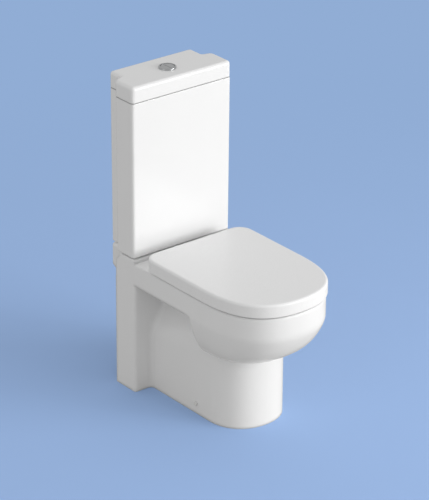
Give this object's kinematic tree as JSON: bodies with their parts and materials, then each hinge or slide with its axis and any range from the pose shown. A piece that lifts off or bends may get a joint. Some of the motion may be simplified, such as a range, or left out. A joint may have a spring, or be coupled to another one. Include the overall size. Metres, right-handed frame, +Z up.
{
  "type": "floor-standing toilet",
  "caption": "Close-coupled floor-standing toilet: rounded bowl on a narrow foot, full-width rear wing, hinged seat and lid, tall slim cistern with a dual flush button in its lid.",
  "frame": {"origin": "centre of the footprint's bounding box on the floor", "axes": "+Z up, -Y to the front of the bowl, +Y to the wall behind, X across"},
  "size_m": [0.368, 0.696, 0.9625],
  "materials": {
    "china": "white glossy glaze",
    "seat_plastic": "white, satin gloss",
    "chrome": "polished",
    "steel": "plain turned steel",
    "rubber": "matt black",
    "valve_plastic": "moulded, off-white",
    "float_plastic": "moulded, grey blue"
  },
  "bodies": {
    "base": {"pan": "china", "cistern_body": "china", "hinge_posts": "chrome", "hinge_pins": "steel", "hinge_bolts": "steel", "hinge_washers": "rubber", "hinge_nuts": "valve_plastic", "tank_bolts": "steel", "tank_bolt_seals": "rubber", "tank_bolt_discs": "steel", "tank_spacers": "rubber", "wing_nut_washers": "steel", "wing_nuts": "valve_plastic", "valve_seat": "valve_plastic", "valve_seat_washer": "rubber", "valve_nut": "valve_plastic", "coupling_gasket": "rubber", "valve_tower": "valve_plastic", "lift_lever_pin": "steel", "fill_valve": "valve_plastic", "inlet_washer": "rubber", "inlet_nut": "valve_plastic", "drop_tube": "float_plastic", "float_lever_pin": "steel", "floor_brackets": "steel", "fixing_screws": "steel", "fixing_caps": "valve_plastic"},
    "cistern_cover": {"cistern_lid": "china", "button_bezel": "chrome", "bezel_nut": "valve_plastic"},
    "full_button": {"full_flush_button": "chrome", "full_flush_rod": "valve_plastic"},
    "half_button": {"half_flush_button": "chrome", "half_flush_rod": "valve_plastic"},
    "flush_bell": {"overflow_bell": "float_plastic", "bell_seal": "rubber"},
    "lifter": {"lift_lever": "float_plastic"},
    "float": {"float_cup": "float_plastic", "float_link": "steel"},
    "float_arm": {"float_lever": "float_plastic"},
    "seat_cover": {"seat_lid": "seat_plastic", "lid_buffers": "rubber"},
    "seat": {"seat_ring": "seat_plastic", "ring_buffers": "rubber"}
  },
  "joints": [
    {"name": "seat_lid_hinge", "type": "hinge", "parent": "base", "child": "seat_cover", "pos_m": [0, 0.138, 0.436], "axis": [-1, 0, 0], "range_deg": [0, 93]},
    {"name": "seat_ring_hinge", "type": "hinge", "parent": "base", "child": "seat", "pos_m": [0, 0.138, 0.436], "axis": [-1, 0, 0], "range_deg": [0, 93]},
    {"name": "cistern_lid_lift", "type": "slide", "parent": "base", "child": "cistern_cover", "axis": [0, 0, 1], "range_m": [0, 0.06]},
    {"name": "full_flush_press", "type": "slide", "parent": "cistern_cover", "child": "full_button", "axis": [0, 0, -1], "range_m": [0, 0.006], "stiffness_N_per_m": 400, "springref_m": -0.004},
    {"name": "half_flush_press", "type": "slide", "parent": "cistern_cover", "child": "half_button", "axis": [0, 0, -1], "range_m": [0, 0.006], "stiffness_N_per_m": 400, "springref_m": -0.004},
    {"name": "bell_lift", "type": "slide", "parent": "base", "child": "flush_bell", "axis": [0, 0, 1], "range_m": [0, 0.012]},
    {"name": "lifter_turn", "type": "hinge", "parent": "base", "child": "lifter", "pos_m": [0.001, 0.266, 0.838], "axis": [0, 1, 0], "range_deg": [0, 26.5]},
    {"name": "float_rise", "type": "slide", "parent": "base", "child": "float", "axis": [0, 0, 1], "range_m": [0, 0.015]},
    {"name": "float_arm_turn", "type": "hinge", "parent": "base", "child": "float_arm", "pos_m": [0.117, 0.3, 0.875], "axis": [0, 1, 0], "range_deg": [0, 24]}
  ],
  "couplings": [
    {"joint": "seat_ring_hinge", "follows": "seat_lid_hinge", "ratio": 1},
    {"joint": "bell_lift", "follows": "full_flush_press", "ratio": 2},
    {"joint": "lifter_turn", "follows": "full_flush_press", "rad_per_m": 76.923},
    {"joint": "float_arm_turn", "follows": "float_rise", "rad_per_m": 27.778}
  ]
}
